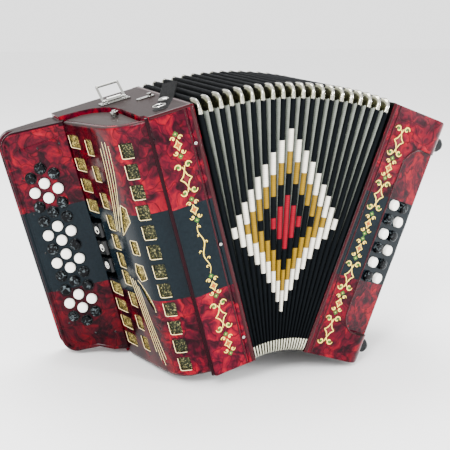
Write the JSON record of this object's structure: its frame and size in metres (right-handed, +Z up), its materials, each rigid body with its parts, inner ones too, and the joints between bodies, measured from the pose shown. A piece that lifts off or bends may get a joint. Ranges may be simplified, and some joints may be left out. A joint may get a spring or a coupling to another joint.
{
  "type": "button accordion",
  "caption": "Diatonic button accordion standing on its ends with the bellows fanned open: treble buttons, grille and registers at one end, bass buttons and hand strap at the other.",
  "frame": {"origin": "middle of the overall box at floor level, rest pose", "axes": "+X from the treble end to the bass end, -Y the front that carries the buttons and grille, +Z up"},
  "size_m": [0.5134, 0.1912, 0.3442],
  "materials": {
    "pearl": "red pearl celluloid veneer with a black middle band, polished",
    "grille_pearl": "red pearl celluloid on a thin wooden cover, polished",
    "gold_mesh": "gold glitter cloth",
    "black_plastic": "polished black plastic",
    "chrome": "bright chrome",
    "black_leather": "black grained leather",
    "reed_wood": "bare spruce with reed plates",
    "bellows_card": "pleated card with black cloth tape, silver valleys and metal corners",
    "white_button": "off-white button plastic",
    "black_button": "black button plastic",
    "rubber": "black rubber"
  },
  "bodies": {
    "treble": {"treble_casing": "pearl", "fingerboard": "pearl", "treble_grille": "grille_pearl", "grille_cloth": "gold_mesh", "treble_fittings": "chrome", "bellows_strap": "black_leather", "treble_bellows_frame": "pearl", "treble_reed_blocks": "reed_wood", "bellows_folds": "bellows_card"},
    "bass": {"bass_bellows_frame": "pearl", "bass_casing": "pearl", "bass_end_cover": "pearl", "bass_reed_block": "reed_wood", "bass_strap": "black_leather", "bass_feet": "rubber"},
    "strap_ring": {"strap_ring": "chrome"},
    "air_button": {"air_button": "chrome"},
    "register_1": {"register_switch_1": "black_plastic"},
    "register_2": {"register_switch_2": "black_plastic"},
    "register_3": {"register_switch_3": "black_plastic"},
    "bass_buttons_1": {"bass_buttons_1": "white_button"},
    "bass_buttons_2": {"bass_buttons_2": "white_button"},
    "bass_buttons_3": {"bass_buttons_3": "white_button"},
    "bass_buttons_4": {"bass_buttons_4": "white_button"},
    "bass_buttons_5": {"bass_buttons_5": "white_button"},
    "bass_buttons_6": {"bass_buttons_6": "white_button"},
    "button_outer_01": {"button_outer_01": "black_button"},
    "button_outer_02": {"button_outer_02": "white_button"},
    "button_outer_03": {"button_outer_03": "black_button"},
    "button_outer_04": {"button_outer_04": "black_button"},
    "button_outer_05": {"button_outer_05": "white_button"},
    "button_outer_06": {"button_outer_06": "black_button"},
    "button_outer_07": {"button_outer_07": "white_button"},
    "button_outer_08": {"button_outer_08": "black_button"},
    "button_outer_09": {"button_outer_09": "black_button"},
    "button_outer_10": {"button_outer_10": "white_button"},
    "button_outer_11": {"button_outer_11": "black_button"},
    "button_middle_01": {"button_middle_01": "black_button"},
    "button_middle_02": {"button_middle_02": "white_button"},
    "button_middle_03": {"button_middle_03": "white_button"},
    "button_middle_04": {"button_middle_04": "black_button"},
    "button_middle_05": {"button_middle_05": "white_button"},
    "button_middle_06": {"button_middle_06": "white_button"},
    "button_middle_07": {"button_middle_07": "white_button"},
    "button_middle_08": {"button_middle_08": "white_button"},
    "button_middle_09": {"button_middle_09": "black_button"},
    "button_middle_10": {"button_middle_10": "white_button"},
    "button_middle_11": {"button_middle_11": "white_button"},
    "button_middle_12": {"button_middle_12": "black_button"},
    "button_inner_01": {"button_inner_01": "black_button"},
    "button_inner_02": {"button_inner_02": "white_button"},
    "button_inner_03": {"button_inner_03": "black_button"},
    "button_inner_04": {"button_inner_04": "black_button"},
    "button_inner_05": {"button_inner_05": "white_button"},
    "button_inner_06": {"button_inner_06": "black_button"},
    "button_inner_07": {"button_inner_07": "white_button"},
    "button_inner_08": {"button_inner_08": "black_button"},
    "button_inner_09": {"button_inner_09": "black_button"},
    "button_inner_10": {"button_inner_10": "white_button"},
    "button_inner_11": {"button_inner_11": "black_button"}
  },
  "joints": [
    {"name": "bellows_fan", "type": "hinge", "parent": "treble", "child": "bass", "pos_m": [0.03352, 0.0016, 0.03419], "axis": [0, 1, 0], "range_deg": [-35, 12], "deforming": ["bellows_folds"]},
    {"name": "register_switch_1", "type": "hinge", "parent": "treble", "child": "register_1", "pos_m": [-0.14868, 0.0428, 0.16768], "axis": [-0.2588, 0, 0.9659], "range_deg": [0, 6]},
    {"name": "register_switch_2", "type": "hinge", "parent": "treble", "child": "register_2", "pos_m": [-0.1428, 0.0428, 0.14576], "axis": [-0.2588, 0, 0.9659], "range_deg": [0, 6]},
    {"name": "register_switch_3", "type": "hinge", "parent": "treble", "child": "register_3", "pos_m": [-0.13693, 0.0428, 0.12383], "axis": [-0.2588, 0, 0.9659], "range_deg": [0, 6]},
    {"name": "strap_ring_swing", "type": "hinge", "parent": "treble", "child": "strap_ring", "pos_m": [-0.12986, 0.0446, 0.31808], "axis": [0.9659, 0, 0.2588], "range_deg": [-42, 120]},
    {"name": "air_button_press", "type": "slide", "parent": "bass", "child": "air_button", "axis": [-0.9397, 0, 0.342], "range_m": [0, 0.005], "stiffness_N_per_m": 200, "springref_m": -0.004},
    {"name": "bass_buttons_1_press", "type": "slide", "parent": "bass", "child": "bass_buttons_1", "axis": [-0.324, 0.9387, 0.1179], "range_m": [0, 0.004], "stiffness_N_per_m": 180, "springref_m": -0.003},
    {"name": "bass_buttons_2_press", "type": "slide", "parent": "bass", "child": "bass_buttons_2", "axis": [-0.324, 0.9387, 0.1179], "range_m": [0, 0.004], "stiffness_N_per_m": 180, "springref_m": -0.003},
    {"name": "bass_buttons_3_press", "type": "slide", "parent": "bass", "child": "bass_buttons_3", "axis": [-0.324, 0.9387, 0.1179], "range_m": [0, 0.004], "stiffness_N_per_m": 180, "springref_m": -0.003},
    {"name": "bass_buttons_4_press", "type": "slide", "parent": "bass", "child": "bass_buttons_4", "axis": [-0.324, 0.9387, 0.1179], "range_m": [0, 0.004], "stiffness_N_per_m": 180, "springref_m": -0.003},
    {"name": "bass_buttons_5_press", "type": "slide", "parent": "bass", "child": "bass_buttons_5", "axis": [-0.324, 0.9387, 0.1179], "range_m": [0, 0.004], "stiffness_N_per_m": 180, "springref_m": -0.003},
    {"name": "bass_buttons_6_press", "type": "slide", "parent": "bass", "child": "bass_buttons_6", "axis": [-0.324, 0.9387, 0.1179], "range_m": [0, 0.004], "stiffness_N_per_m": 180, "springref_m": -0.003},
    {"name": "button_middle_01_press", "type": "slide", "parent": "treble", "child": "button_middle_01", "axis": [0.3743, 0.9219, 0.1003], "range_m": [0, 0.0045], "stiffness_N_per_m": 150, "springref_m": -0.003},
    {"name": "button_middle_02_press", "type": "slide", "parent": "treble", "child": "button_middle_02", "axis": [0.3743, 0.9219, 0.1003], "range_m": [0, 0.0045], "stiffness_N_per_m": 150, "springref_m": -0.003},
    {"name": "button_middle_03_press", "type": "slide", "parent": "treble", "child": "button_middle_03", "axis": [0.3743, 0.9219, 0.1003], "range_m": [0, 0.0045], "stiffness_N_per_m": 150, "springref_m": -0.003},
    {"name": "button_middle_04_press", "type": "slide", "parent": "treble", "child": "button_middle_04", "axis": [0.3743, 0.9219, 0.1003], "range_m": [0, 0.0045], "stiffness_N_per_m": 150, "springref_m": -0.003},
    {"name": "button_middle_05_press", "type": "slide", "parent": "treble", "child": "button_middle_05", "axis": [0.3743, 0.9219, 0.1003], "range_m": [0, 0.0045], "stiffness_N_per_m": 150, "springref_m": -0.003},
    {"name": "button_middle_06_press", "type": "slide", "parent": "treble", "child": "button_middle_06", "axis": [0.3743, 0.9219, 0.1003], "range_m": [0, 0.0045], "stiffness_N_per_m": 150, "springref_m": -0.003},
    {"name": "button_middle_07_press", "type": "slide", "parent": "treble", "child": "button_middle_07", "axis": [0.3743, 0.9219, 0.1003], "range_m": [0, 0.0045], "stiffness_N_per_m": 150, "springref_m": -0.003},
    {"name": "button_middle_08_press", "type": "slide", "parent": "treble", "child": "button_middle_08", "axis": [0.3743, 0.9219, 0.1003], "range_m": [0, 0.0045], "stiffness_N_per_m": 150, "springref_m": -0.003},
    {"name": "button_middle_09_press", "type": "slide", "parent": "treble", "child": "button_middle_09", "axis": [0.3743, 0.9219, 0.1003], "range_m": [0, 0.0045], "stiffness_N_per_m": 150, "springref_m": -0.003},
    {"name": "button_middle_10_press", "type": "slide", "parent": "treble", "child": "button_middle_10", "axis": [0.3743, 0.9219, 0.1003], "range_m": [0, 0.0045], "stiffness_N_per_m": 150, "springref_m": -0.003},
    {"name": "button_middle_11_press", "type": "slide", "parent": "treble", "child": "button_middle_11", "axis": [0.3743, 0.9219, 0.1003], "range_m": [0, 0.0045], "stiffness_N_per_m": 150, "springref_m": -0.003},
    {"name": "button_middle_12_press", "type": "slide", "parent": "treble", "child": "button_middle_12", "axis": [0.3743, 0.9219, 0.1003], "range_m": [0, 0.0045], "stiffness_N_per_m": 150, "springref_m": -0.003},
    {"name": "button_outer_01_press", "type": "slide", "parent": "treble", "child": "button_outer_01", "axis": [0.3743, 0.9219, 0.1003], "range_m": [0, 0.0045], "stiffness_N_per_m": 150, "springref_m": -0.003},
    {"name": "button_outer_02_press", "type": "slide", "parent": "treble", "child": "button_outer_02", "axis": [0.3743, 0.9219, 0.1003], "range_m": [0, 0.0045], "stiffness_N_per_m": 150, "springref_m": -0.003},
    {"name": "button_outer_03_press", "type": "slide", "parent": "treble", "child": "button_outer_03", "axis": [0.3743, 0.9219, 0.1003], "range_m": [0, 0.0045], "stiffness_N_per_m": 150, "springref_m": -0.003},
    {"name": "button_outer_04_press", "type": "slide", "parent": "treble", "child": "button_outer_04", "axis": [0.3743, 0.9219, 0.1003], "range_m": [0, 0.0045], "stiffness_N_per_m": 150, "springref_m": -0.003},
    {"name": "button_outer_05_press", "type": "slide", "parent": "treble", "child": "button_outer_05", "axis": [0.3743, 0.9219, 0.1003], "range_m": [0, 0.0045], "stiffness_N_per_m": 150, "springref_m": -0.003},
    {"name": "button_outer_06_press", "type": "slide", "parent": "treble", "child": "button_outer_06", "axis": [0.3743, 0.9219, 0.1003], "range_m": [0, 0.0045], "stiffness_N_per_m": 150, "springref_m": -0.003},
    {"name": "button_outer_07_press", "type": "slide", "parent": "treble", "child": "button_outer_07", "axis": [0.3743, 0.9219, 0.1003], "range_m": [0, 0.0045], "stiffness_N_per_m": 150, "springref_m": -0.003},
    {"name": "button_outer_08_press", "type": "slide", "parent": "treble", "child": "button_outer_08", "axis": [0.3743, 0.9219, 0.1003], "range_m": [0, 0.0045], "stiffness_N_per_m": 150, "springref_m": -0.003},
    {"name": "button_outer_09_press", "type": "slide", "parent": "treble", "child": "button_outer_09", "axis": [0.3743, 0.9219, 0.1003], "range_m": [0, 0.0045], "stiffness_N_per_m": 150, "springref_m": -0.003},
    {"name": "button_outer_10_press", "type": "slide", "parent": "treble", "child": "button_outer_10", "axis": [0.3743, 0.9219, 0.1003], "range_m": [0, 0.0045], "stiffness_N_per_m": 150, "springref_m": -0.003},
    {"name": "button_outer_11_press", "type": "slide", "parent": "treble", "child": "button_outer_11", "axis": [0.3743, 0.9219, 0.1003], "range_m": [0, 0.0045], "stiffness_N_per_m": 150, "springref_m": -0.003},
    {"name": "button_inner_01_press", "type": "slide", "parent": "treble", "child": "button_inner_01", "axis": [0.3743, 0.9219, 0.1003], "range_m": [0, 0.0045], "stiffness_N_per_m": 150, "springref_m": -0.003},
    {"name": "button_inner_02_press", "type": "slide", "parent": "treble", "child": "button_inner_02", "axis": [0.3743, 0.9219, 0.1003], "range_m": [0, 0.0045], "stiffness_N_per_m": 150, "springref_m": -0.003},
    {"name": "button_inner_03_press", "type": "slide", "parent": "treble", "child": "button_inner_03", "axis": [0.3743, 0.9219, 0.1003], "range_m": [0, 0.0045], "stiffness_N_per_m": 150, "springref_m": -0.003},
    {"name": "button_inner_04_press", "type": "slide", "parent": "treble", "child": "button_inner_04", "axis": [0.3743, 0.9219, 0.1003], "range_m": [0, 0.0045], "stiffness_N_per_m": 150, "springref_m": -0.003},
    {"name": "button_inner_05_press", "type": "slide", "parent": "treble", "child": "button_inner_05", "axis": [0.3743, 0.9219, 0.1003], "range_m": [0, 0.0045], "stiffness_N_per_m": 150, "springref_m": -0.003},
    {"name": "button_inner_06_press", "type": "slide", "parent": "treble", "child": "button_inner_06", "axis": [0.3743, 0.9219, 0.1003], "range_m": [0, 0.0045], "stiffness_N_per_m": 150, "springref_m": -0.003},
    {"name": "button_inner_07_press", "type": "slide", "parent": "treble", "child": "button_inner_07", "axis": [0.3743, 0.9219, 0.1003], "range_m": [0, 0.0045], "stiffness_N_per_m": 150, "springref_m": -0.003},
    {"name": "button_inner_08_press", "type": "slide", "parent": "treble", "child": "button_inner_08", "axis": [0.3743, 0.9219, 0.1003], "range_m": [0, 0.0045], "stiffness_N_per_m": 150, "springref_m": -0.003},
    {"name": "button_inner_09_press", "type": "slide", "parent": "treble", "child": "button_inner_09", "axis": [0.3743, 0.9219, 0.1003], "range_m": [0, 0.0045], "stiffness_N_per_m": 150, "springref_m": -0.003},
    {"name": "button_inner_10_press", "type": "slide", "parent": "treble", "child": "button_inner_10", "axis": [0.3743, 0.9219, 0.1003], "range_m": [0, 0.0045], "stiffness_N_per_m": 150, "springref_m": -0.003},
    {"name": "button_inner_11_press", "type": "slide", "parent": "treble", "child": "button_inner_11", "axis": [0.3743, 0.9219, 0.1003], "range_m": [0, 0.0045], "stiffness_N_per_m": 150, "springref_m": -0.003}
  ]
}
